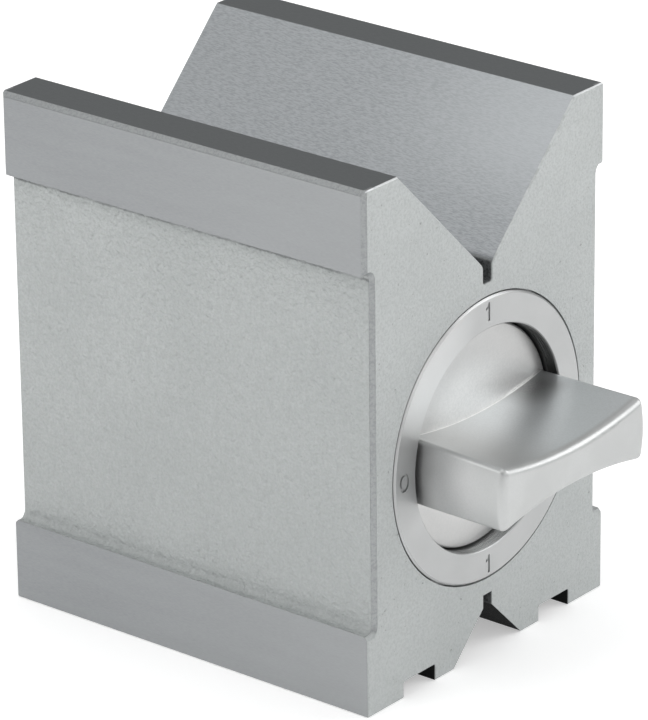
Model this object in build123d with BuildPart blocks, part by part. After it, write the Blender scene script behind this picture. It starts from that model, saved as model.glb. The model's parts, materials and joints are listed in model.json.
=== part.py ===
from build123d import *

import os
from math import hypot, radians, tan

# Switchable magnetic V-block: a one-piece iron block with a large V on top and a small V
# underneath, and a magnet rotor inside that a bar knob turns between 0 (off) and 1 (on).
# Millimetres.  +Z is up, the knob faces -Y, and the origin is under the middle of the
# whole object, knob included.  "Depth" is measured from the front face into the block.

# --- driving dimensions ---------------------------------------------------------------
LENGTH = 80.0  # block, front face to rear face
WIDTH = 67.0
HEIGHT = 96.0
KNOB_PROUD = 18.8  # knob's outer face in front of the block's front face
AXIS_HEIGHT = 40.5  # rotor axis above the base

# Outside of the block
BAND_HEIGHT = 15.2  # ground bands along the top and bottom of each side
SIDE_RECESS = 2.0  # the cast sides lie this far behind the bands
RECESS_FILLET = 1.1
V_HALF = 24.5  # half the top V's mouth; the V is 90 degrees
V_SLOT_HALF = 1.1
V_SLOT_FLOOR = 69.4  # height of the relief slot's floor
BASE_V_HALF = 9.85
BASE_SLOT_HALF = 1.25
BASE_SLOT_TOP = 11.1
NOTCH_INNER = 14.8  # foot notch, from the middle
NOTCH_OUTER = 23.7
NOTCH_DEPTH = 3.2
V_SLOT_FILLET = 0.4  # in the slot's floor
NOTCH_FILLET = 0.5
TOP_CHAMFER = 0.9
FOOT_CHAMFER = 0.25
FACE_CHAMFER = 0.8  # where the front and rear faces meet the cast sides and the upper bands
V_EDGE = 0.3  # where they meet the top V
FINE_EDGE = 0.25  # where they meet the top lands, the lower bands and the feet

# Bores of the block
ROTOR_BORE_R = 24.0
RING_SEAT_R = 26.5
RING_SEAT_DEPTH = 11.7
COVER_SEAT_R = 25.0
COVER_SEAT_DEPTH = 71.7  # shoulder that the rear cover sits on
CLIP_GROOVE_R = 26.5
CLIP_GROOVE_DEPTH = 76.7
CLIP_GROOVE_WIDTH = 1.6
PAST = 1.0  # a cut starts and ends this far outside what it cuts

# Dial ring
RING_PROUD = 0.3
RING_BACK = 6.7
RING_FACE_R = 26.2
RING_BORE_R = 20.5
RING_GAP_DEPTH = 1.5  # the ring's front is turned down this deep, which leaves a fine gap
RING_EDGE = 0.35
BORE_EDGE = 0.15
BORE_LINE_DEPTHS = (0.3, 0.8, 1.5)  # fine turned lines in the wall of the ring's bore
BORE_LINE_WIDTH = 0.25
BORE_LINE_CUT = 0.1
SEAL_GROOVE_DEPTH = 4.8
SEAL_GROOVE_WIDTH = 1.5
SEAL_SECTION_R = 0.68
DIGIT_RADIUS = 23.6  # middle of each digit from the axis
DIGIT_HEIGHT = 3.4
DIGIT_WIDTH = 2.6
DIGIT_STROKE = 0.5
DIGIT_CUT = 0.3

# Knob
DISC_FACE = 2.4  # depth of the disc's face
DISC_R = 20.2
DISC_ROLL = 0.4  # rounding of the disc's rim
FLANGE_FRONT = 7.2
FLANGE_BACK = 12.0
FLANGE_R = 23.0
BAR_MID_HALF = 3.6  # half thickness in the middle of the bar
BAR_END_HALF = 5.85  # half thickness at the bar's ends
BAR_ROOT_R = 19.5  # round ends of the bar, about the rotor's axis, at its root
BAR_FLARE = 2.2  # degrees that the ends lean outwards, for grip
BAR_DRAFT = 1.5  # degrees of draft on each flank: the bar is thicker at its root
BAR_FACE_FILLET = 1.4
BAR_END_FILLET = 0.9
BAR_ROOT_DEPTH = 6.0

# Fits
PRESS_GAP = 0.02  # drawn gap of a press or push fit
RUN_GAP = 0.05  # radial clearance of a running fit
AIR_GAP = 0.3  # rotor to bore

# Stop
STOP_PIN_R = 1.25
STOP_PIN_SINK = 0.1  # its outer end lies this far under the bush's outside
STOP_PIN_DEPTH = 9.4
STOP_PIN_NOSE_R = 21.5
STOP_GROOVE_R = 21.2
STOP_GROOVE_HALF = 1.45
STOP_OVERTRAVEL = 0.3

# Rotor
ROTOR_R = ROTOR_BORE_R - AIR_GAP
PLATE = 4.0  # thickness of the end plates
SHOES_BACK = 66.5
MAGNET_HALF_HEIGHT = 7.0
MAGNET_HALF_WIDTH = 18.0
MAGNETS = ["magnet_front", "magnet_middle", "magnet_rear"]
TIE_R = 2.0
TIE_HOLE_R = 2.2
TIE_CIRCLE_R = 17.0
TIE_HEAD_R = 4.0
TIE_HEAD_HEIGHT = 2.0
TIE_NOSE_DEPTH = 8.4
TIE_END_ROOM = 0.5  # beyond the thread's end, and under the head's sharp rim
TIE_SOCKET_FLATS = 2.5
TIE_SOCKET_DEPTH = 1.4
DRIVE_PIN_R = 2.0
DRIVE_PIN_HEIGHT = 13.0
DRIVE_PIN_ENDS = (9.0, 19.0)
JOURNAL_R = 7.95
JOURNAL_BACK = 77.2
JOURNAL_CHAMFER = 0.6

# Rear cover and its pieces
COVER_BACK = 76.7
BOSS_R = 13.0
BOSS_BACK = 79.5
BOSS_CHAMFER = 0.8
BUSH_R = 10.0
BUSH_BACK = 77.5
COVER_SEAL_SECTION_R = 0.78
COVER_SEAL_DEPTH = 74.2
COVER_SEAL_ROOM = 0.15  # beside the seal in its groove
SPRING_INNER_R = 8.6
SPRING_OUTER_R = 14.0
SPRING_THICKNESS = 0.7
CLIP_THICKNESS = 1.5
CLIP_OUTER_R = 26.4
CLIP_INNER_R = 23.4
CLIP_LUG_R = 2.6
CLIP_LUG_CENTRE_R = 22.4
CLIP_HOLE_R = 1.1
CLIP_GAP_HALF = 12.0  # half angle of the gap, degrees
CLIP_LUG_ANGLE = 18.0  # each lug from the gap's middle, degrees

# --- worked out from them -------------------------------------------------------------
FRONT_Y = -(LENGTH - KNOB_PROUD) / 2
FLANGE_SEAT_R = FLANGE_R + RUN_GAP
SHOES_FRONT = FLANGE_BACK + PLATE
REAR_PLATE_BACK = SHOES_BACK + PLATE
V_SLOT_MOUTH = HEIGHT - V_HALF + V_SLOT_HALF
BASE_SLOT_MOUTH = BASE_V_HALF - BASE_SLOT_HALF
HALF = WIDTH / 2
CAST_HALF = HALF - SIDE_RECESS
BORE_BACK_R = JOURNAL_R + RUN_GAP
BAR_SAG = BAR_END_HALF - BAR_MID_HALF
BAR_HEIGHT = BAR_ROOT_DEPTH + KNOB_PROUD
BAR_END_R = BAR_ROOT_R + BAR_HEIGHT * tan(radians(BAR_FLARE))
BAR_END_X = (BAR_END_R**2 - BAR_END_HALF**2) ** 0.5
BAR_FLANK_R = (BAR_END_X**2 + BAR_SAG**2) / (2 * BAR_SAG)
DOWEL_R = 1.0
DOWEL_CENTRE_R = (FLANGE_SEAT_R + RING_SEAT_R) / 2
DOWEL_ENDS = (4.2, 9.2)
WASHER_OUTER_R = FLANGE_R - 0.3
WASHER_INNER_R = DISC_R + 0.5
NEAR = 0.01  # points closer than this are the same

ROTOR_AXIS = Axis((0, FRONT_Y, AXIS_HEIGHT), (0, 1, 0))
SECTION = Plane(origin=(0, FRONT_Y, AXIS_HEIGHT), x_dir=(1, 0, 0), z_dir=(0, 0, 1))


def at_depth(depth, height=AXIS_HEIGHT):
    """Upright plane at this depth, facing the knob side, with its origin at this height."""
    return Plane(origin=(0, FRONT_Y + depth, height), x_dir=(1, 0, 0), z_dir=(0, -1, 0))


def drum(radius, front, back, mode=Mode.ADD, spots=((0, 0),)):
    """Cylinders of this radius from one depth to another, about points on the rotor's face."""
    with BuildSketch(at_depth(front)) as face:
        with Locations(*spots):
            Circle(radius)
    extrude(face.sketch, amount=front - back, mode=mode)


def turn(*corners, mode=Mode.ADD):
    """Solid of revolution about the rotor axis, from (radius, depth) corners."""
    with BuildSketch(SECTION) as section:
        with BuildLine():
            Polyline(*corners, close=True)
        make_face()
    revolve(section.sketch, axis=ROTOR_AXIS, mode=mode)


def o_ring(radius, depth, section_radius):
    """A ring of round section about the rotor axis."""
    with BuildSketch(SECTION) as section:
        with Locations((radius, depth)):
            Circle(section_radius)
    revolve(section.sketch, axis=ROTOR_AXIS)


def corner(sketch, x, y):
    """The sketch's corner at (x, y) and its mirror image at (-x, y)."""
    return [v for v in sketch.vertices() if hypot(abs(v.X) - x, v.Y - y) < NEAR]


def face_edges(part, depth, wanted):
    """Straight and round edges in the upright plane at this depth that pass the test."""
    return [e for e in part.edges().filter_by_position(
        Axis.Y, FRONT_Y + depth - NEAR, FRONT_Y + depth + NEAR) if wanted(e.center())]


def on_upper_side(c):
    """True for a point on the block's sides, between the lower bands and the top chamfers."""
    return abs(c.X) > CAST_HALF - NEAR and BAND_HEIGHT - NEAR < c.Z < HEIGHT - TOP_CHAMFER


def on_lower_band(c):
    """True for a point on the lower bands' ground faces."""
    return abs(c.X) > HALF - NEAR and c.Z < BAND_HEIGHT


def on_v_flank(c):
    """True for the middle of a flank of the top V."""
    return c.Z > V_SLOT_MOUTH + V_SLOT_HALF and abs(c.X) < V_HALF - NEAR


def on_land_or_foot(c):
    """True for a point on the two top lands, their chamfers or the feet."""
    return c.Z > HEIGHT - TOP_CHAMFER or c.Z < NEAR


def is_sloping(edge):
    """True for an edge that runs towards the knob side, straight or on a slant."""
    return abs(edge.tangent_at(0.5).Y) > NEAR


TIE_SPOTS = [(x * TIE_CIRCLE_R / 2**0.5, z * TIE_CIRCLE_R / 2**0.5) for x in (-1, 1) for z in (-1, 1)]
DRIVE_SPOTS = [(0, -DRIVE_PIN_HEIGHT), (0, DRIVE_PIN_HEIGHT)]

pieces = {}

# --- housing: one casting, ground on its bands, lands, V and feet ------------------------
with BuildPart() as housing:
    with BuildSketch(at_depth(0, 0)) as outline:
        with BuildLine():
            Polyline(
                (0, V_SLOT_FLOOR),
                (V_SLOT_HALF, V_SLOT_FLOOR),
                (V_SLOT_HALF, V_SLOT_MOUTH),
                (V_HALF, HEIGHT),
                (HALF, HEIGHT),
                (HALF, HEIGHT - BAND_HEIGHT),
                (CAST_HALF, HEIGHT - BAND_HEIGHT),
                (CAST_HALF, BAND_HEIGHT),
                (HALF, BAND_HEIGHT),
                (HALF, 0),
                (NOTCH_OUTER, 0),
                (NOTCH_OUTER, NOTCH_DEPTH),
                (NOTCH_INNER, NOTCH_DEPTH),
                (NOTCH_INNER, 0),
                (BASE_V_HALF, 0),
                (BASE_SLOT_HALF, BASE_SLOT_MOUTH),
                (BASE_SLOT_HALF, BASE_SLOT_TOP),
                (0, BASE_SLOT_TOP),
                close=True,
            )
        make_face()
        mirror(about=Plane.YZ)
        for z in (BAND_HEIGHT, HEIGHT - BAND_HEIGHT):
            fillet(corner(outline, CAST_HALF, z), radius=RECESS_FILLET)
        for x in (NOTCH_INNER, NOTCH_OUTER):
            fillet(corner(outline, x, NOTCH_DEPTH), radius=NOTCH_FILLET)
        fillet(corner(outline, V_SLOT_HALF, V_SLOT_MOUTH), radius=V_SLOT_HALF)
        fillet(corner(outline, V_SLOT_HALF, V_SLOT_FLOOR), radius=V_SLOT_FILLET)
        chamfer(corner(outline, HALF, HEIGHT), length=TOP_CHAMFER)
        for x in (HALF, BASE_V_HALF):
            chamfer(corner(outline, x, 0), length=FOOT_CHAMFER)
    extrude(amount=-LENGTH)
    for depth in (0, LENGTH):
        chamfer(face_edges(housing, depth, on_upper_side), length=FACE_CHAMFER)
        chamfer(face_edges(housing, depth, on_v_flank), length=V_EDGE)
        chamfer(face_edges(housing, depth, on_lower_band), length=FINE_EDGE)
        chamfer(face_edges(housing, depth, on_land_or_foot), length=FINE_EDGE)
    drum(ROTOR_BORE_R, -PAST, LENGTH + PAST, Mode.SUBTRACT)
    drum(RING_SEAT_R, -PAST, RING_SEAT_DEPTH, Mode.SUBTRACT)
    drum(COVER_SEAT_R, COVER_SEAT_DEPTH, LENGTH + PAST, Mode.SUBTRACT)
    drum(CLIP_GROOVE_R, CLIP_GROOVE_DEPTH, CLIP_GROOVE_DEPTH + CLIP_GROOVE_WIDTH, Mode.SUBTRACT)
pieces["housing"] = housing

# --- dial ring: marks the knob's positions and traps the knob's flange --------------------
with BuildPart() as front_ring:
    ring_fit_r = RING_SEAT_R - PRESS_GAP
    turn(
        (RING_BORE_R + BORE_EDGE, -RING_PROUD),
        (RING_FACE_R - RING_EDGE, -RING_PROUD),
        (RING_FACE_R, RING_EDGE - RING_PROUD),
        (RING_FACE_R, RING_GAP_DEPTH),
        (ring_fit_r, RING_GAP_DEPTH),
        (ring_fit_r, RING_BACK),
        (RING_BORE_R, RING_BACK),
        (RING_BORE_R, BORE_EDGE - RING_PROUD),
    )
    for depth in BORE_LINE_DEPTHS:
        drum(RING_BORE_R + BORE_LINE_CUT, depth, depth + BORE_LINE_WIDTH, Mode.SUBTRACT)
    seal_groove_r = DISC_R + RUN_GAP + 2 * SEAL_SECTION_R + PRESS_GAP
    drum(seal_groove_r, SEAL_GROOVE_DEPTH, SEAL_GROOVE_DEPTH + SEAL_GROOVE_WIDTH, Mode.SUBTRACT)
    drum(DOWEL_R + PRESS_GAP, DOWEL_ENDS[0], RING_BACK, Mode.SUBTRACT, [(0, DOWEL_CENTRE_R)])
    # The digits stay upright all round: 1 above and below, 0 at both sides.
    with BuildSketch(at_depth(-RING_PROUD)) as digits:
        with Locations((0, DIGIT_RADIUS), (0, -DIGIT_RADIUS)):
            Rectangle(DIGIT_STROKE, DIGIT_HEIGHT)
        for z in (DIGIT_RADIUS, -DIGIT_RADIUS):
            top = z + DIGIT_HEIGHT / 2
            with BuildLine():
                Polyline(
                    (0, top),
                    (-DIGIT_WIDTH / 3, top - DIGIT_WIDTH / 3),
                    (-DIGIT_WIDTH / 3, top - DIGIT_WIDTH / 3 - DIGIT_STROKE),
                    (0, top - DIGIT_STROKE * 1.4),
                    close=True,
                )
            make_face()
        with Locations((-DIGIT_RADIUS, 0), (DIGIT_RADIUS, 0)):
            Ellipse(DIGIT_WIDTH / 2, DIGIT_HEIGHT / 2)
            Ellipse(DIGIT_WIDTH / 2 - DIGIT_STROKE, DIGIT_HEIGHT / 2 - DIGIT_STROKE, mode=Mode.SUBTRACT)
    extrude(amount=-DIGIT_CUT, mode=Mode.SUBTRACT)
pieces["front_ring"] = front_ring

with BuildPart() as knob_seal:
    seal_depth = SEAL_GROOVE_DEPTH + SEAL_GROOVE_WIDTH / 2
    o_ring(DISC_R + RUN_GAP + SEAL_SECTION_R, seal_depth, SEAL_SECTION_R)
pieces["knob_seal"] = knob_seal

# --- front bush: the knob's flange turns in it ---------------------------------------------
with BuildPart() as front_bush:
    drum(RING_SEAT_R - PRESS_GAP, RING_BACK, RING_SEAT_DEPTH)
    drum(FLANGE_SEAT_R, RING_BACK, RING_SEAT_DEPTH, Mode.SUBTRACT)
    drum(DOWEL_R + PRESS_GAP, RING_BACK, DOWEL_ENDS[1], Mode.SUBTRACT, [(0, DOWEL_CENTRE_R)])
    with BuildSketch(Plane.XY.offset(AXIS_HEIGHT - RING_SEAT_R - PAST)):
        with Locations((0, FRONT_Y + STOP_PIN_DEPTH)):
            Circle(STOP_PIN_R + PRESS_GAP)
    extrude(amount=RING_SEAT_R - FLANGE_SEAT_R + 2 * PAST, mode=Mode.SUBTRACT)
pieces["front_bush"] = front_bush

with BuildPart() as ring_dowel:
    drum(DOWEL_R, *DOWEL_ENDS, spots=[(0, DOWEL_CENTRE_R)])
pieces["ring_dowel"] = ring_dowel

with BuildPart() as stop_pin:
    with BuildSketch(Plane.XY.offset(AXIS_HEIGHT - RING_SEAT_R + STOP_PIN_SINK)):
        with Locations((0, FRONT_Y + STOP_PIN_DEPTH)):
            Circle(STOP_PIN_R)
    extrude(amount=RING_SEAT_R - STOP_PIN_SINK - STOP_PIN_NOSE_R)
pieces["stop_pin"] = stop_pin

with BuildPart() as thrust_washer:
    washer_back = FLANGE_FRONT - PRESS_GAP
    drum(WASHER_OUTER_R, RING_BACK, washer_back)
    drum(WASHER_INNER_R, RING_BACK, washer_back, Mode.SUBTRACT)
pieces["thrust_washer"] = thrust_washer

# --- knob: disc, hidden flange and bar handle in one casting -------------------------------
with BuildPart() as knob:
    # Bar handle: round ends just inside the disc's rim, hollowed flanks above and below.
    with BuildSketch(at_depth(BAR_ROOT_DEPTH)):
        Circle(BAR_ROOT_R)
    extrude(amount=BAR_HEIGHT, taper=-BAR_FLARE)
    flanks = [(0, side * (BAR_MID_HALF + BAR_FLANK_R)) for side in (-1, 1)]
    with BuildSketch(at_depth(-KNOB_PROUD - PAST)):
        with Locations(*flanks):
            Circle(BAR_FLANK_R)
    extrude(amount=-BAR_HEIGHT - 2 * PAST, taper=BAR_DRAFT, mode=Mode.SUBTRACT)
    fillet([e for e in knob.edges() if is_sloping(e)], radius=BAR_END_FILLET)
    fillet(face_edges(knob, -KNOB_PROUD, lambda c: True), radius=BAR_FACE_FILLET)
    # Disc with a rolled rim, then the flange that the ring holds back.
    with BuildSketch(SECTION) as disc_section:
        with Locations((0, DISC_FACE)):
            Rectangle(DISC_R, FLANGE_FRONT - DISC_FACE, align=(Align.MIN, Align.MIN))
        fillet(corner(disc_section, DISC_R, DISC_FACE), radius=DISC_ROLL)
    revolve(axis=ROTOR_AXIS)
    drum(FLANGE_R, FLANGE_FRONT, FLANGE_BACK)
    drum(TIE_R + PRESS_GAP, TIE_NOSE_DEPTH - TIE_END_ROOM, FLANGE_BACK, Mode.SUBTRACT, TIE_SPOTS)
    drum(DRIVE_PIN_R + PRESS_GAP, DRIVE_PIN_ENDS[0], FLANGE_BACK, Mode.SUBTRACT, DRIVE_SPOTS)
    # Half-round stop groove in the flange's rim, open below the axis.
    with BuildSketch(at_depth(STOP_PIN_DEPTH - STOP_GROOVE_HALF)):
        Circle(FLANGE_R + PAST)
        Circle(STOP_GROOVE_R, mode=Mode.SUBTRACT)
        with Locations((0, STOP_PIN_R + STOP_OVERTRAVEL)):
            Rectangle(3 * FLANGE_R, 2 * FLANGE_R, align=(Align.CENTER, Align.MIN), mode=Mode.SUBTRACT)
    extrude(amount=-2 * STOP_GROOVE_HALF, mode=Mode.SUBTRACT)
pieces["knob"] = knob

with BuildPart() as drive_pins:
    drum(DRIVE_PIN_R, *DRIVE_PIN_ENDS, spots=DRIVE_SPOTS)
pieces["drive_pins"] = drive_pins

# --- rotor: magnets between two pole shoes, closed by an end plate at each end ---------------
with BuildPart() as front_end_plate:
    drum(ROTOR_R, FLANGE_BACK, SHOES_FRONT)
    drum(TIE_HOLE_R, FLANGE_BACK, SHOES_FRONT, Mode.SUBTRACT, TIE_SPOTS)
    drum(DRIVE_PIN_R + PRESS_GAP, FLANGE_BACK, SHOES_FRONT, Mode.SUBTRACT, DRIVE_SPOTS)
pieces["front_end_plate"] = front_end_plate

for shoe_name, side in (("pole_shoe_upper", 1), ("pole_shoe_lower", -1)):
    with BuildPart() as pole_shoe:
        drum(ROTOR_R, SHOES_FRONT, SHOES_BACK)
        drum(TIE_HOLE_R, SHOES_FRONT, SHOES_BACK, Mode.SUBTRACT, TIE_SPOTS)
        drum(DRIVE_PIN_R + PRESS_GAP, SHOES_FRONT, DRIVE_PIN_ENDS[1], Mode.SUBTRACT, DRIVE_SPOTS)
        cut = Plane.XY.offset(AXIS_HEIGHT + side * MAGNET_HALF_HEIGHT)
        split(bisect_by=cut, keep=Keep.TOP if side > 0 else Keep.BOTTOM)
    pieces[shoe_name] = pole_shoe

magnet_length = (SHOES_BACK - SHOES_FRONT) / len(MAGNETS)
for number, magnet_name in enumerate(MAGNETS):
    with BuildPart() as magnet:
        with BuildSketch(at_depth(SHOES_FRONT + number * magnet_length)):
            Rectangle(2 * MAGNET_HALF_WIDTH, 2 * MAGNET_HALF_HEIGHT)
        extrude(amount=-magnet_length)
    pieces[magnet_name] = magnet

for bar_name, side in (("filler_bar_left", -1), ("filler_bar_right", 1)):
    with BuildPart() as filler_bar:
        with BuildSketch(at_depth(SHOES_FRONT)):
            Circle(ROTOR_R)
            with Locations((side * (MAGNET_HALF_WIDTH + ROTOR_R / 2), 0)):
                Rectangle(ROTOR_R, 2 * MAGNET_HALF_HEIGHT, mode=Mode.INTERSECT)
        extrude(amount=SHOES_FRONT - SHOES_BACK)
    pieces[bar_name] = filler_bar

with BuildPart() as rear_end_plate:
    drum(ROTOR_R, SHOES_BACK, REAR_PLATE_BACK)
    drum(JOURNAL_R, REAR_PLATE_BACK, JOURNAL_BACK)
    chamfer(face_edges(rear_end_plate, JOURNAL_BACK, lambda c: True), length=JOURNAL_CHAMFER)
    with BuildSketch(at_depth(REAR_PLATE_BACK)) as heads:
        with Locations(*TIE_SPOTS):
            Circle(TIE_HEAD_R + 2 * PRESS_GAP)
    extrude(heads.sketch, amount=TIE_HEAD_HEIGHT, taper=45, mode=Mode.SUBTRACT)
    drum(TIE_HOLE_R, SHOES_BACK, REAR_PLATE_BACK, Mode.SUBTRACT, TIE_SPOTS)
pieces["rear_end_plate"] = rear_end_plate

with BuildPart() as tie_screws:
    drum(TIE_R, TIE_NOSE_DEPTH, REAR_PLATE_BACK - TIE_END_ROOM, spots=TIE_SPOTS)
    with BuildSketch(at_depth(REAR_PLATE_BACK)):
        with Locations(*TIE_SPOTS):
            Circle(TIE_HEAD_R)
    extrude(amount=TIE_HEAD_HEIGHT, taper=45)
    with BuildSketch(at_depth(REAR_PLATE_BACK)):
        with Locations(*TIE_SPOTS):
            RegularPolygon(TIE_SOCKET_FLATS / 2, 6, major_radius=False)
    extrude(amount=TIE_SOCKET_DEPTH, mode=Mode.SUBTRACT)
pieces["tie_screws"] = tie_screws

# --- rear end: the journal turns in a bush, in a cover that a retaining ring holds ----------
with BuildPart() as rear_cover:
    drum(COVER_SEAT_R - PRESS_GAP, COVER_SEAT_DEPTH, COVER_BACK)
    drum(BOSS_R, COVER_BACK, BOSS_BACK)
    chamfer(face_edges(rear_cover, BOSS_BACK, lambda c: True), length=BOSS_CHAMFER)
    drum(BUSH_R + PRESS_GAP, COVER_SEAT_DEPTH, BUSH_BACK, Mode.SUBTRACT)
    groove_floor_r = COVER_SEAT_R - 2 * (COVER_SEAL_SECTION_R + PRESS_GAP)
    groove_half = COVER_SEAL_SECTION_R + COVER_SEAL_ROOM
    turn(
        (groove_floor_r, COVER_SEAL_DEPTH - groove_half),
        (COVER_SEAT_R + PAST, COVER_SEAL_DEPTH - groove_half),
        (COVER_SEAT_R + PAST, COVER_SEAL_DEPTH + groove_half),
        (groove_floor_r, COVER_SEAL_DEPTH + groove_half),
        mode=Mode.SUBTRACT,
    )
pieces["rear_cover"] = rear_cover

with BuildPart() as cover_seal:
    o_ring(COVER_SEAT_R - PRESS_GAP - COVER_SEAL_SECTION_R, COVER_SEAL_DEPTH, COVER_SEAL_SECTION_R)
pieces["cover_seal"] = cover_seal

with BuildPart() as rear_bush:
    drum(BUSH_R, COVER_SEAT_DEPTH, BUSH_BACK)
    drum(BORE_BACK_R, COVER_SEAT_DEPTH, BUSH_BACK, Mode.SUBTRACT)
pieces["rear_bush"] = rear_bush

with BuildPart() as disc_spring:
    spring_front = REAR_PLATE_BACK + PRESS_GAP
    spring_back = COVER_SEAT_DEPTH - PRESS_GAP
    turn(
        (SPRING_INNER_R, spring_front),
        (SPRING_OUTER_R, spring_back - SPRING_THICKNESS),
        (SPRING_OUTER_R, spring_back),
        (SPRING_INNER_R, spring_front + SPRING_THICKNESS),
    )
pieces["disc_spring"] = disc_spring

with BuildPart() as retaining_ring:
    with BuildSketch(at_depth(COVER_BACK + PRESS_GAP)):
        Circle(CLIP_OUTER_R)
        Circle(CLIP_INNER_R, mode=Mode.SUBTRACT)
        gap_reach = 2 * CLIP_OUTER_R
        gap_half = gap_reach * tan(radians(CLIP_GAP_HALF))
        Polygon((0, 0), (-gap_half, -gap_reach), (gap_half, -gap_reach), align=None, mode=Mode.SUBTRACT)
        first_lug = -90 - CLIP_LUG_ANGLE
        with PolarLocations(CLIP_LUG_CENTRE_R, 2, start_angle=first_lug, angular_range=4 * CLIP_LUG_ANGLE):
            Circle(CLIP_LUG_R)
            Circle(CLIP_HOLE_R, mode=Mode.SUBTRACT)
    extrude(amount=-CLIP_THICKNESS)
pieces["retaining_ring"] = retaining_ring

# --- write every piece -------------------------------------------------------------------
os.makedirs("parts", exist_ok=True)
for name, piece in pieces.items():
    piece.part.label = name
    export_step(piece.part, f"parts/{name}.step")
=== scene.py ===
import json
import math

import bpy
from mathutils import Matrix, Vector


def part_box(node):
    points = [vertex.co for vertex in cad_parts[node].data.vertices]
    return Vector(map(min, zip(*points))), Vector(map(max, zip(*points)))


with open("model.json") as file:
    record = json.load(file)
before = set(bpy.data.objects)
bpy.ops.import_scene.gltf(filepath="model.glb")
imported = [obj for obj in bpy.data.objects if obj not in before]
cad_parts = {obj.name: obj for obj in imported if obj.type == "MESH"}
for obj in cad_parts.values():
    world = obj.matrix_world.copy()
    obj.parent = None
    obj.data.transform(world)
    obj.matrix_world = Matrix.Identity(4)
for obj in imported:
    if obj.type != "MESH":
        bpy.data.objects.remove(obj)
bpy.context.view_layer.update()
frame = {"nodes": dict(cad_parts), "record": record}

MM = 0.001

# --- sizes read from the frame ---------------------------------------------------------
block_low, block_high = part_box("housing")
ring_low, ring_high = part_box("front_ring")
HALF_WIDTH = (block_high.x - block_low.x) / 2
HEIGHT = block_high.z
FRONT_Y = block_low.y
REAR_Y = block_high.y
MIDDLE_Y = (FRONT_Y + REAR_Y) / 2
AXIS_HEIGHT = (ring_low.z + ring_high.z) / 2

# --- the block's own sizes ----------------------------------------------------------------
V_APEX = 71.5 * MM  # where the planes of the top V meet
SLOT_LIMIT = 60 * MM  # some way under the top V's relief slot
BAND_HEIGHT = 15.2 * MM  # of the ground bands along each side
LOWER_EDGE = HEIGHT - BAND_HEIGHT  # lower edge of the upper bands
CAST_HALF = HALF_WIDTH - 2.0 * MM  # to the cast side between the bands
CHAMFER_SUM = HALF_WIDTH + HEIGHT - 0.9 * MM  # |x| + z on the chamfer along each top edge
END_CHAMFER = 0.8 * MM
BASE_CUTS_TOP = 11.6 * MM  # just over the base V's relief slot
BASE_CUTS_HALF = 24.2 * MM  # just past the foot notches
BASE_V_TOP = 8.0 * MM  # just under where the base V turns into its slot
BASE_SLOT_HALF = 1.6 * MM  # just past the slot's walls

# --- the dial's and the knob's own sizes -----------------------------------------------
BORE_R = 20.9 * MM  # just outside the wall of the dial ring's bore
DISC_Y = FRONT_Y + 2.25 * MM  # just in front of the knob's disc
BAR_FACE_Y = FRONT_Y - 17.5 * MM  # just behind the bar's outer face
BAR_END = 18.6 * MM  # |x| where the bar's ends begin

# --- the block's colours ----------------------------------------------------------------
SKIN_DULL, SKIN = (0.495, 0.517, 0.514), (0.53, 0.552, 0.549)
SKIN_SHADED_LOW = (0.39, 0.41, 0.408)  # painted shade towards the base
# painted shade on the sides, near the front
SKIN_SHADED_NEAR_FRONT = (0.42, 0.442, 0.44)
SKIN_GRAIN = (0.36, 0.38, 0.378)
SKIN_PEEL = (0.40, 0.42, 0.415)
# dark for the pits, and for the painted shade under the upper bands
DIRT_AND_SHADE = (0.16, 0.17, 0.17)
STEEL_DULL, STEEL = (0.29, 0.30, 0.308), (0.308, 0.319, 0.327)
# painted light on the ground steel near the front
STEEL_LIT_NEAR_FRONT = (0.37, 0.381, 0.386)
STEEL_STREAK = (0.38, 0.391, 0.399)
FLANK_DULL, FLANK = (0.335, 0.352, 0.364), (0.435, 0.454, 0.468)
# painted light on the V flanks, near the front and high up
FLANK_PAINTED_LIGHT = (0.55, 0.575, 0.59)
# painted reflection: the lands' ground steel darkened to stand in for the dark surround they reflect
LAND_PAINTED_DARK = (0.178, 0.190, 0.194)
MILLED_DULL, MILLED = (0.30, 0.312, 0.315), (0.36, 0.374, 0.378)
# painted highlight on the broken edges
EDGE_HIGHLIGHT = (0.72, 0.74, 0.745)
# near-black painted shade in the slots, notches and base V
SHADE_BLACK = (0.012, 0.013, 0.013)
# paler, mottled painted shade in the relief slots
SLOT_SHADE_DARK, SLOT_SHADE = (0.05, 0.053, 0.054), (0.11, 0.115, 0.117)

# --- the dial's and the knob's colours ----------------------------------------------------
DIAL = (0.485, 0.492, 0.492)
# painted highlight on the ring's upper left sector
DIAL_PAINTED_HIGHLIGHT = (0.8, 0.805, 0.8)
# painted shade on the ring's left sector, beside the bar's end
DIAL_PAINTED_SHADE = (0.30, 0.305, 0.305)
# painted shade on the right side of the bore's wall
BORE_WALL_SHADE = (0.06, 0.06, 0.06)
KNOB = (0.56, 0.57, 0.567)
# painted highlight on the bar's outer ends
KNOB_END_HIGHLIGHT = (0.615, 0.62, 0.62)
# painted highlight on the bar's flanks
KNOB_FLANK_HIGHLIGHT = (0.635, 0.66, 0.67)
# painted shade on the bar's ends near the bore, and a painted dark reflection on its shoulders
KNOB_SHADE_AND_REFLECTION = (0.2, 0.2, 0.2)
# painted highlight along the bar's root at the disc
KNOB_ROOT_HIGHLIGHT = (0.9, 0.9, 0.895)
# painted light on the disc's middle, painted shade at its rim
DISC_LIT_MIDDLE, DISC_SHADED_RIM = (0.73, 0.728, 0.72), (0.58, 0.58, 0.575)

# --- camera ------------------------------------------------------------------------------
CAMERA_AZIMUTH = -50.91  # degrees round from straight in front, to the left
CAMERA_ELEVATION = 22.86
CAMERA_ROLL = -0.64
CAMERA_DISTANCE = 0.9718
CAMERA_TARGET = Vector((-0.00286, 0.00312, 0.04741))
CAMERA_LENS = 278.5
SENSOR_WIDTH = 36.0

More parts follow.
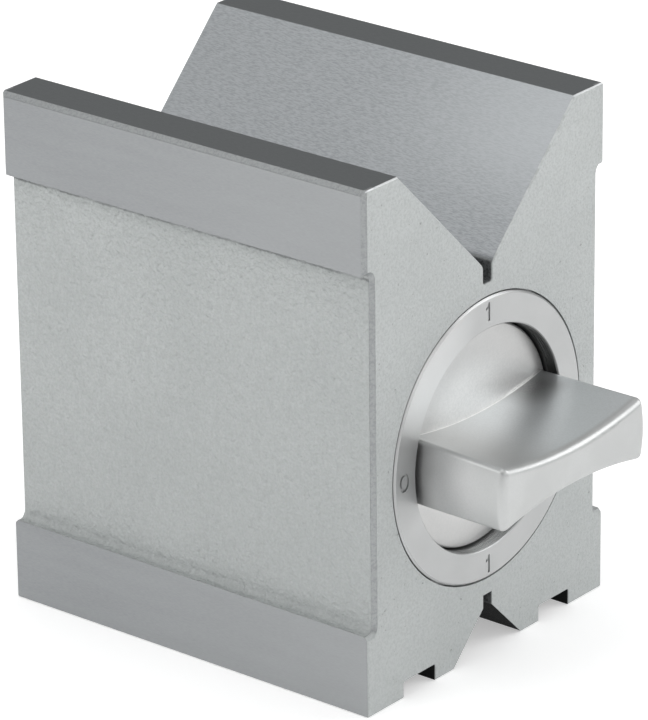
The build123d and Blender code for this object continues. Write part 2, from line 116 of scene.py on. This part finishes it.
# --- lights and surround: metres and watts -----------------------------------------------
LIGHTS = (  # name, place, aim, size, power
    ("key", (1.64, -1.28, 1.2), (0, 0, 0.05), 1.5, 18),
    ("fill", (-0.45, -1.7, 0.95), (0, 0, 0.08), 1.4, 4.5),
    ("left", (-1.0, 0.6, 0.62), (0, 0, 0.05), 0.8, 2.9),
    ("overhead", (-0.3, 0.4, 2.0), (0, 0, 0), 1.4, 8.5),
)
DIM_BELOW, BRIGHT_ABOVE = 0.25, 0.95  # heights on the surround's unit sphere
SURROUND_DIM, SURROUND_BRIGHT = 0.36, 0.60  # strengths there
FLOOR_HALF = 6.0
FLOOR_DROP = 0.02 * MM  # keeps the floor clear of the feet
FLOOR_TONES = (0.86, 0.86, 0.86), (0.88, 0.88, 0.88)
FLOOR_GLOW = 0.4


class Graph:
    """Builds one material's node tree."""

    def __init__(self, name):
        self.material = bpy.data.materials.new(name)
        self.material.use_nodes = True
        self.tree = self.material.node_tree
        self.tree.nodes.clear()
        self.output = self.tree.nodes.new("ShaderNodeOutputMaterial")
        self.bsdf = self.tree.nodes.new("ShaderNodeBsdfPrincipled")
        self.link(self.bsdf.outputs["BSDF"], self.output.inputs["Surface"])
        self.place = self.tree.nodes.new("ShaderNodeTexCoord").outputs["Object"]
        split = self.tree.nodes.new("ShaderNodeSeparateXYZ")
        self.link(self.place, split.inputs[0])
        self.x, self.y, self.z = split.outputs

    def link(self, source, target):
        """Joins a socket, or sets a plain value."""
        if isinstance(source, bpy.types.NodeSocket):
            self.tree.links.new(source, target)
        else:
            target.default_value = source

    def math(self, operation, *values):
        """Works out one operation on numbers or sockets."""
        node = self.tree.nodes.new("ShaderNodeMath")
        node.operation = operation
        for value, target in zip(values, node.inputs):
            self.link(value, target)
        return node.outputs[0]

    def add(self, a, b):
        return self.math("ADD", a, b)

    def sub(self, a, b):
        return self.math("SUBTRACT", a, b)

    def mul(self, a, b):
        return self.math("MULTIPLY", a, b)

    def most(self, first, *others):
        """The largest of several numbers."""
        for other in others:
            first = self.math("MAXIMUM", first, other)
        return first

    def ramp(self, value, low, high, to_low=0.0, to_high=1.0):
        """Smooth step of value between low and high."""
        node = self.tree.nodes.new("ShaderNodeMapRange")
        node.interpolation_type = "SMOOTHSTEP"
        for source, target in zip((value, low, high, to_low, to_high), node.inputs):
            self.link(source, target)
        return node.outputs[0]

    def above(self, value, limit, blend):
        """0 up to the limit, then a rise to 1 over the blend's width."""
        return self.ramp(value, limit, limit + blend)

    def below(self, value, limit, blend):
        """0 down to the limit, then a rise to 1 over the blend's width."""
        return self.ramp(value, limit, limit - blend)

    def magnitude(self, value):
        """The value without its sign."""
        return self.math("ABSOLUTE", value)

    def all_of(self, first, *others):
        """Product of zones: 1 only where each of them is 1."""
        for other in others:
            first = self.mul(first, other)
        return first

    def about_axis(self):
        """Height over the rotor's axis, and distance from it."""
        rise = self.sub(self.z, AXIS_HEIGHT)
        return rise, self.math("SQRT", self.add(self.mul(self.x, self.x), self.mul(rise, rise)))

    def mix(self, factor, a, b):
        """Mix of two numbers."""
        node = self.tree.nodes.new("ShaderNodeMix")
        for source, target in zip((factor, a, b), (node.inputs[0], node.inputs[2], node.inputs[3])):
            self.link(source, target)
        return node.outputs[0]

    def mix_colour(self, factor, a, b):
        """Mix of two colours, each a tuple or a socket."""
        node = self.tree.nodes.new("ShaderNodeMix")
        node.data_type = "RGBA"
        self.link(factor, node.inputs[0])
        for source, target in zip((a, b), (node.inputs[6], node.inputs[7])):
            self.link((*source, 1.0) if isinstance(source, tuple) else source, target)
        return node.outputs[2]

    def stretched(self, x, y, z):
        """The object's coordinates, stretched for streaks."""
        node = self.tree.nodes.new("ShaderNodeMapping")
        self.link(self.place, node.inputs["Vector"])
        node.inputs["Scale"].default_value = (x, y, z)
        return node.outputs[0]

    def noise(self, size, detail=3.0, rough=0.5, place=None):
        """Noise with features about this many metres across."""
        node = self.tree.nodes.new("ShaderNodeTexNoise")
        self.link(self.place if place is None else place, node.inputs["Vector"])
        node.inputs["Scale"].default_value = 1 / size
        node.inputs["Detail"].default_value = detail
        node.inputs["Roughness"].default_value = rough
        return node.outputs["Fac"]

    def bump(self, height, depth):
        """Bump by this height, a plain number, times a depth in metres."""
        node = self.tree.nodes.new("ShaderNodeBump")
        self.link(height, node.inputs["Height"])
        node.inputs["Distance"].default_value = depth
        return node.outputs[0]

    def finish(self, **sockets):
        """Sets the shader's own sockets by name, with _ for a space."""
        for name, value in sockets.items():
            if isinstance(value, tuple):
                value = (*value, 1.0)
            self.link(value, self.bsdf.inputs[name.replace("_", " ")])
        return self.material


class BlockZones:
    """Distances on the block, and its finishes' zones, which go from 0 outside to 1 inside."""

    def __init__(self, g):
        self.g = g
        self.across = g.magnitude(g.x)
        self.from_end = g.sub(REAR_Y - MIDDLE_Y, g.magnitude(g.sub(g.y, MIDDLE_Y)))
        self.flank_gap = g.magnitude(g.sub(g.sub(g.z, self.across), V_APEX))
        self.wander = g.sub(g.noise(1.2 * MM, 4.0, 0.6), 0.5)
        self.frontness = g.ramp(g.y, REAR_Y, FRONT_Y)
        self.set_ground()
        self.set_milled()
        self.set_edge_highlight()
        self.set_painted_shade()
        past_recess = g.above(self.across, HALF_WIDTH - 2.6 * MM, 0.4 * MM)
        self.side = g.all_of(past_recess, g.above(self.from_end, 0.7 * MM, 0.1 * MM))

    def set_ground(self):
        """Ground bands, lands, feet and V flanks. The casting's edge along each band is uneven."""
        g = self.g
        from_band_edge = g.most(g.sub(BAND_HEIGHT, g.z), g.sub(g.z, LOWER_EDGE))
        uneven = g.add(from_band_edge, g.mul(self.wander, 0.6 * MM))
        band_face = g.above(self.across, HALF_WIDTH - 0.08 * MM, 0.04 * MM)
        self.band = g.all_of(band_face, g.above(uneven, -0.06 * MM, 0.08 * MM))
        self.land = g.above(g.z, HEIGHT - 0.06 * MM, 0.03 * MM)
        self.foot = g.below(g.z, 0.06 * MM, 0.03 * MM)
        on_flank = g.below(self.flank_gap, 0.09 * MM, 0.04 * MM)
        self.flank = g.all_of(on_flank, g.above(g.z, V_APEX + 1.2 * MM, 0.4 * MM))
        self.ground = g.most(self.band, self.land, self.foot, self.flank)

    def set_milled(self):
        """Rough-milled chamfers: along the top of each side, and down the ends' upper corners."""
        g = self.g
        on_chamfer = g.above(g.add(self.across, g.z), CHAMFER_SUM - 0.1 * MM, 0.05 * MM)
        top_strip = g.all_of(on_chamfer, g.sub(1.0, g.most(self.band, self.land)))
        corner = g.all_of(
            g.below(self.from_end, END_CHAMFER, 0.04 * MM),
            g.above(self.from_end, 0.03 * MM, 0.03 * MM),
            g.above(self.across, CAST_HALF - 0.85 * MM, 0.05 * MM),
            g.above(g.z, BAND_HEIGHT - 0.2 * MM, 0.6 * MM),
        )
        self.milled = g.most(top_strip, corner)

    def set_edge_highlight(self):
        """Painted highlights on the broken edges of the lands and of the V, at both ends."""
        g = self.g
        patchy = g.ramp(g.noise(1.5 * MM), 0.35, 0.6, 0.0, 0.5)
        v_edge = g.all_of(g.below(self.flank_gap, 0.50 * MM, 0.06 * MM), patchy)
        land_edge = g.mul(g.above(g.z, HEIGHT - 0.32 * MM, 0.05 * MM), 0.8)
        self.edge = g.all_of(
            g.most(land_edge, v_edge),
            g.below(self.from_end, 0.34 * MM, 0.05 * MM),
            g.above(self.from_end, 0.01 * MM, 0.02 * MM),
            g.above(g.z, V_APEX + 1.6 * MM, 0.4 * MM),
        )

    def set_painted_shade(self):
        """Painted shade: near-black in the slots, notches and base V, and paler and mottled in the
        relief slots.
        """
        g = self.g
        slot = g.all_of(
            g.below(self.across, 2.4 * MM, 0.5 * MM),
            g.below(g.z, V_APEX + 2.2 * MM, 1.3 * MM),
            g.above(g.z, SLOT_LIMIT, 2 * MM),
        )
        under = g.all_of(
            g.below(g.z, BASE_CUTS_TOP, 0.2 * MM),
            g.below(self.across, BASE_CUTS_HALF, 0.2 * MM),
        )
        inside = g.above(self.from_end, 0.05 * MM, 0.25 * MM)
        self.dark = g.all_of(g.most(slot, under), inside, g.sub(1.0, self.foot))
        base_slot = g.all_of(
            g.below(self.across, BASE_SLOT_HALF, 0.2 * MM),
            g.above(g.z, BASE_V_TOP, 0.6 * MM),
        )
        self.slot_shaded = g.most(slot, base_slot)


def skin_colour(g, zones, fine, peel, pits):
    """Cast and blasted skin with dark pits, and painted shade: darker low down, near the front and in
    its hollows.
    """
    cloud = g.noise(18 * MM)
    skin = g.mix_colour(g.ramp(cloud, 0.3, 0.7), SKIN_DULL, SKIN)
    # Painted shade: the skin darkens towards the base.
    skin = g.mix_colour(g.ramp(g.z, 0.7 * HEIGHT, 0.0, 0.0, 0.35), skin, SKIN_SHADED_LOW)
    skin = g.mix_colour(g.ramp(fine, 0.32, 0.62, 0.42, 0.0), skin, SKIN_GRAIN)
    skin = g.mix_colour(g.mul(g.ramp(peel, 0.35, 0.65, 0.3, 0.0), zones.side), skin, SKIN_PEEL)
    # Painted shade: the sides darken towards the front.
    skin = g.mix_colour(g.all_of(zones.frontness, zones.side, 0.3), skin, SKIN_SHADED_NEAR_FRONT)
    skin = g.mix_colour(g.mul(pits, g.mix(zones.side, 0.5, 0.15)), skin, DIRT_AND_SHADE)

    # Painted shade under the upper bands: a wide faint zone, and an uneven dark line in the fillet.
    shade_height = g.add(g.z, g.mul(zones.wander, 2 * MM))
    under_band_shade = g.mul(g.ramp(shade_height, LOWER_EDGE - 3.5 * MM, LOWER_EDGE - 1 * MM), 0.16)
    skin = g.mix_colour(g.mul(under_band_shade, zones.side), skin, DIRT_AND_SHADE)
    line_height = g.add(g.z, g.mul(zones.wander, 0.7 * MM))
    from_line = g.magnitude(g.sub(line_height, LOWER_EDGE - 1.1 * MM))
    patchy = g.ramp(g.noise(6 * MM), 0.35, 0.6, 0.3, 0.8)
    crease_shade = g.all_of(g.ramp(from_line, 0.42 * MM, 0.1 * MM), patchy, zones.side)
    return g.mix_colour(crease_shade, skin, DIRT_AND_SHADE)


def steel_colour(g, zones, streak):
    """Ground steel: fine streaks along the length, stronger in the V than on the bands, with painted
    light near the front and on the V flanks, and a painted dark reflection on the lands.
    """
    long_streak = g.noise(2.2 * MM, 3.0, 0.6, g.stretched(1, 0.12, 1))
    steel = g.mix_colour(g.ramp(long_streak, 0.3, 0.7), STEEL_DULL, STEEL)
    # Painted light: the ground steel lightens towards the front.
    steel = g.mix_colour(g.mul(zones.frontness, 0.5), steel, STEEL_LIT_NEAR_FRONT)
    steel = g.mix_colour(g.mul(g.ramp(streak, 0.3, 0.7), 0.25), steel, STEEL_STREAK)

    flank = g.mix_colour(g.ramp(streak, 0.35, 0.62), FLANK_DULL, FLANK)
    # Painted light: the V flanks lighten near the front and high up.
    near_front = g.ramp(g.y, FRONT_Y + 45 * MM, FRONT_Y)
    high = g.ramp(g.z, V_APEX + 4 * MM, V_APEX + 18 * MM)
    flank = g.mix_colour(g.all_of(near_front, high, 0.6), flank, FLANK_PAINTED_LIGHT)
    steel = g.mix_colour(zones.flank, steel, flank)
    # Painted reflection: the lands are painted darker than the same ground steel on the bands.
    return g.mix_colour(zones.land, steel, LAND_PAINTED_DARK)


def block_material():
    """Grey blasted casting, with ground bands, lands and V flanks, and painted shade in the slots,
    notches and base V.
    """
    g = Graph("block_casting")
    zones = BlockZones(g)
    fine = g.noise(0.5 * MM, 4.0, 0.65)
    peel = g.noise(1.5 * MM, 3.0, 0.55)
    pebble = g.noise(0.8 * MM, 2.0)
    pits = g.ramp(g.noise(1.0 * MM, 2.0), 0.71, 0.76)
    streak = g.noise(0.17 * MM, 3.0, 0.6, g.stretched(1, 0.16, 1))

    skin = skin_colour(g, zones, fine, peel, pits)
    colour = g.mix_colour(zones.ground, skin, steel_colour(g, zones, streak))
    rough_milled = g.mix_colour(g.ramp(fine, 0.35, 0.6), MILLED_DULL, MILLED)
    colour = g.mix_colour(zones.milled, colour, rough_milled)
    # Painted highlight along the broken edges.
    colour = g.mix_colour(zones.edge, colour, EDGE_HIGHLIGHT)
    # Painted shade: near-black in the slots, notches and base V, paler and mottled in the relief
    # slots.
    slot_shade_colour = g.mix_colour(g.ramp(fine, 0.35, 0.6), SLOT_SHADE_DARK, SLOT_SHADE)
    colour = g.mix_colour(zones.dark, colour, g.mix_colour(zones.slot_shaded, SHADE_BLACK, slot_shade_colour))

    metal = g.most(zones.ground, g.mul(zones.milled, 0.7), zones.edge)
    skin_rough = g.ramp(fine, 0.3, 0.7, 0.62, 0.5)
    steel_rough = g.ramp(streak, 0.3, 0.7, 0.44, 0.36)

    # Relief: fine grain on the ends, coarser orange peel on the sides, and small pits.
    end_relief = g.add(g.mul(fine, 1.1), g.mul(peel, 0.6))
    side_relief = g.add(g.mul(pebble, 3.0), g.mul(peel, 2.4))
    relief = g.mix(zones.side, end_relief, side_relief)
    relief = g.sub(relief, g.mul(pits, g.mix(zones.side, 0.6, 0.2)))
    relief = g.mix(zones.milled, relief, g.mul(fine, 0.3))
    relief = g.mix(zones.ground, relief, g.mul(streak, 0.10))
    return g.finish(
        Base_Color=colour,
        Metallic=g.mix(zones.dark, g.mix(metal, 0.25, 0.9), 0.0),
        Roughness=g.mix(metal, skin_rough, steel_rough),
        Specular_IOR_Level=g.mix(zones.dark, 0.5, 0.02),
        Normal=g.bump(relief, 0.16 * MM),
    )


def knob_tones(g, tone):
    """Painted light and shade on the knob: painted highlights on the bar's flanks, ends and root,
    painted shade and a painted dark reflection near the bore, and a disc painted lighter in the
    middle than at the rim.
    """
    end = g.above(g.magnitude(g.x), BAR_END, 0.8 * MM)
    not_end = g.sub(1.0, end)

    # Painted highlight: the bar's ends lighten away from the block.
    end_highlight = g.all_of(end, g.ramp(g.y, FRONT_Y - 16 * MM, FRONT_Y - 10 * MM))
    tone = g.mix_colour(end_highlight, tone, KNOB_END_HIGHLIGHT)
    # Painted shade: the bar's ends darken towards the bore.
    end_shade = g.all_of(end, g.ramp(g.y, FRONT_Y - 4.5 * MM, FRONT_Y + 0.5 * MM, 0.0, 0.72))
    tone = g.mix_colour(end_shade, tone, KNOB_SHADE_AND_REFLECTION)

    # Painted highlight: the flanks lighten towards the right.
    flank_highlight = g.all_of(
        g.ramp(g.x, -14 * MM, 2 * MM),
        g.above(g.y, BAR_FACE_Y, 1 * MM),
        not_end,
    )
    tone = g.mix_colour(flank_highlight, tone, KNOB_FLANK_HIGHLIGHT)
    # Painted reflection: a dark patch on the shoulders, next to the bore's wall.
    shoulder_reflection = g.all_of(
        g.ramp(g.x, 5 * MM, 12.5 * MM),
        g.ramp(g.x, 19 * MM, 14.5 * MM),
        g.ramp(g.y, FRONT_Y - 6.5 * MM, FRONT_Y - 0.5 * MM, 0.0, 0.85),
    )
    tone = g.mix_colour(shoulder_reflection, tone, KNOB_SHADE_AND_REFLECTION)
    # Painted highlight: a bright line where the bar meets the disc.
    root_highlight = g.all_of(g.above(g.y, DISC_Y - 0.3 * MM, 0.1 * MM), not_end, 0.8)
    tone = g.mix_colour(root_highlight, tone, KNOB_ROOT_HIGHLIGHT)

    radius = g.about_axis()[1]
    # Painted light and shade: the disc is lighter in the middle and darker towards the rim.
    disc = g.mix_colour(g.ramp(radius, 10 * MM, 17 * MM), DISC_LIT_MIDDLE, DISC_SHADED_RIM)
    return g.mix_colour(g.above(g.y, DISC_Y, 0.1 * MM), tone, disc)


def knob_material():
    """Satin blasted metal with a fine grain and slightly worn patches."""
    g = Graph("knob_metal")
    grain = g.noise(0.35 * MM, 3.0, 0.6)
    cloud = g.ramp(g.noise(9 * MM), 0.3, 0.7)
    dark = tuple(0.9 * c for c in KNOB)
    tone = knob_tones(g, g.mix_colour(cloud, dark, KNOB))
    return g.finish(
        Base_Color=g.mix_colour(g.mul(g.ramp(grain, 0.3, 0.7), 0.25), tone, dark),
        Metallic=0.82,
        Roughness=g.add(g.mul(cloud, 0.05), g.ramp(grain, 0.2, 0.8, 0.32, 0.40)),
        Normal=g.bump(grain, 0.008 * MM),
    )


def dial_tones(g, face):
    """Painted light on the dial: a painted highlight sector and a painted shade sector on the ring's
    face, and painted shade on the right side of its bore's wall.
    """
    rise, radius = g.about_axis()
    strength = 0.45
    upwards, leftwards = 0.67, 0.74  # from the axis towards the middle of the painted highlight sector
    # Painted highlight: a bright sector on the ring's upper left.
    along = g.sub(g.mul(rise, upwards), g.mul(g.x, leftwards))
    highlight_sector = g.ramp(g.math("DIVIDE", along, radius), 0.74, 1.0, 0.0, strength)
    face = g.mix_colour(highlight_sector, face, DIAL_PAINTED_HIGHLIGHT)
    # Painted shade: a dull sector on the ring's left.
    left = g.math("DIVIDE", g.mul(g.x, -1.0), radius)
    face = g.mix_colour(g.ramp(left, 0.90, 1.0, 0.0, strength), face, DIAL_PAINTED_SHADE)
    # Painted shade: the right side of the bore's wall is darkened.
    wall_shade = g.all_of(g.below(radius, BORE_R, 0.1 * MM), g.ramp(g.x, 6 * MM, 14 * MM), 0.7)
    return g.mix_colour(wall_shade, face, BORE_WALL_SHADE)


def turned_material(name, colour, roughness, metallic=1.0, depth=0.004 * MM, tones=None):
    """Metal turned about the rotor's axis, with fine rings and a soft sheen."""
    g = Graph(name)
    ring_pitch = 0.25 * MM
    radius = g.about_axis()[1]
    wobble = g.mul(g.noise(4 * MM, 2.0), 0.3)
    turns = g.add(g.mul(radius, 1 / ring_pitch), wobble)
    rings = g.math("SINE", g.mul(turns, 2 * math.pi))
    grain = g.noise(0.5 * MM, 3.0, 0.6)
    cloud = g.ramp(g.noise(10 * MM, 2.0), 0.3, 0.7)
    face = g.mix_colour(cloud, tuple(0.94 * c for c in colour), colour)
    return g.finish(
        Base_Color=tones(g, face) if tones else face,
        Metallic=metallic,
        Roughness=g.add(g.mul(grain, 0.12), roughness),
        Normal=g.bump(g.add(g.mul(rings, 0.3), grain), depth),
    )


def plain_material(name, colour, roughness, metallic=0.0):
    """Small hidden pieces: one colour, broken up by grain and patches."""
    g = Graph(name)
    grain = g.noise(0.6 * MM, 3.0, 0.6)
    cloud = g.ramp(g.noise(6 * MM, 2.0), 0.3, 0.7)
    dark = tuple(0.8 * c for c in colour)
    return g.finish(
        Base_Color=g.mix_colour(g.add(g.mul(cloud, 0.5), g.mul(grain, 0.3)), colour, dark),
        Metallic=metallic,
        Roughness=g.add(g.mul(grain, 0.15), roughness),
        Normal=g.bump(grain, 0.01 * MM),
    )


MATERIALS = {
    "block_casting": block_material(),
    "dial_metal": turned_material("dial_metal", DIAL, 0.30, 0.9, 0.012 * MM, dial_tones),
    "knob_metal": knob_material(),
    "seal_rubber": plain_material("seal_rubber", (0.02, 0.02, 0.02), 0.6),
    "bush_bronze": plain_material("bush_bronze", (0.55, 0.33, 0.14), 0.35, 1.0),
    "pin_steel": plain_material("pin_steel", (0.5, 0.5, 0.51), 0.28, 1.0),
    "washer_plastic": plain_material("washer_plastic", (0.75, 0.73, 0.67), 0.5),
    "cover_aluminium": turned_material("cover_aluminium", (0.62, 0.63, 0.64), 0.34, depth=0.006 * MM),
    "clip_steel": plain_material("clip_steel", (0.09, 0.09, 0.095), 0.45, 0.8),
    "plate_brass": turned_material("plate_brass", (0.65, 0.48, 0.2), 0.32),
    "pole_steel": turned_material("pole_steel", (0.4, 0.4, 0.41), 0.36),
    "magnet_ferrite": plain_material("magnet_ferrite", (0.05, 0.05, 0.055), 0.7),
    "filler_aluminium": plain_material("filler_aluminium", (0.62, 0.63, 0.64), 0.38, 1.0),
    "screw_steel": plain_material("screw_steel", (0.1, 0.1, 0.105), 0.4, 0.9),
}

for row in frame["record"]["subparts"]:
    node = frame["nodes"][row["node"]]
    node.data.materials.clear()
    node.data.materials.append(MATERIALS[row["material_slot"]])


def floor_plane():
    """Plain pale floor under the object."""
    mesh = bpy.data.meshes.new("floor")
    ways = ((-1, -1), (1, -1), (1, 1), (-1, 1))
    corners = [(x * FLOOR_HALF, y * FLOOR_HALF, -FLOOR_DROP) for x, y in ways]
    mesh.from_pydata(corners, [], [(0, 1, 2, 3)])
    floor = bpy.data.objects.new("floor", mesh)
    bpy.context.scene.collection.objects.link(floor)
    g = Graph("floor_paper")
    mesh.materials.append(g.finish(
        Base_Color=g.mix_colour(g.noise(0.3, 2.0), *FLOOR_TONES),
        Roughness=0.8,
        Emission_Color=(1.0, 1.0, 1.0),
        Emission_Strength=FLOOR_GLOW,
    ))


def softbox(name, place, aim, size, power):
    """Square area light at a place, turned to a point."""
    light = bpy.data.lights.new(name, "AREA")
    light.size = size
    light.energy = power
    lamp = bpy.data.objects.new(name, light)
    lamp.location = place
    lamp.rotation_euler = (Vector(aim) - Vector(place)).to_track_quat("-Z", "Y").to_euler()
    bpy.context.scene.collection.objects.link(lamp)


def studio_world():
    """Soft surround: dim near the horizon, bright overhead."""
    world = bpy.data.worlds.new("studio")
    bpy.context.scene.world = world
    world.use_nodes = True
    tree = world.node_tree
    tree.nodes.clear()
    output = tree.nodes.new("ShaderNodeOutputWorld")
    background = tree.nodes.new("ShaderNodeBackground")
    place = tree.nodes.new("ShaderNodeTexCoord")
    split = tree.nodes.new("ShaderNodeSeparateXYZ")
    fade = tree.nodes.new("ShaderNodeMapRange")
    fade.interpolation_type = "SMOOTHSTEP"
    limits = (DIM_BELOW, BRIGHT_ABOVE, SURROUND_DIM, SURROUND_BRIGHT)
    for value, target in zip(limits, list(fade.inputs)[1:5]):
        target.default_value = value
    tree.links.new(place.outputs["Generated"], split.inputs[0])
    tree.links.new(split.outputs["Z"], fade.inputs[0])
    tree.links.new(fade.outputs[0], background.inputs["Strength"])
    background.inputs["Color"].default_value = (1.0, 1.0, 1.0, 1.0)
    tree.links.new(background.outputs[0], output.inputs["Surface"])


def camera():
    """Long-lens camera, in front and to the left, looking down at the block."""
    turn, tilt = math.radians(CAMERA_AZIMUTH), math.radians(CAMERA_ELEVATION)
    back = Vector((math.sin(turn) * math.cos(tilt), -math.cos(turn) * math.cos(tilt), math.sin(tilt)))
    right = Vector((math.cos(turn), math.sin(turn), 0))
    up = back.cross(right)
    roll = math.radians(CAMERA_ROLL)
    rolled_right = right * math.cos(roll) + up * math.sin(roll)
    rolled_up = up * math.cos(roll) - right * math.sin(roll)
    data = bpy.data.cameras.new("camera")
    data.lens = CAMERA_LENS
    data.sensor_width = SENSOR_WIDTH
    data.clip_end = 20.0
    eye = bpy.data.objects.new("camera", data)
    place = Matrix((rolled_right, rolled_up, back)).transposed().to_4x4()
    place.translation = CAMERA_TARGET + back * CAMERA_DISTANCE
    eye.matrix_world = place
    bpy.context.scene.collection.objects.link(eye)
    bpy.context.scene.camera = eye


bpy.context.scene.view_settings.view_transform = "Standard"
floor_plane()
studio_world()
for row in LIGHTS:
    softbox(*row)
camera()
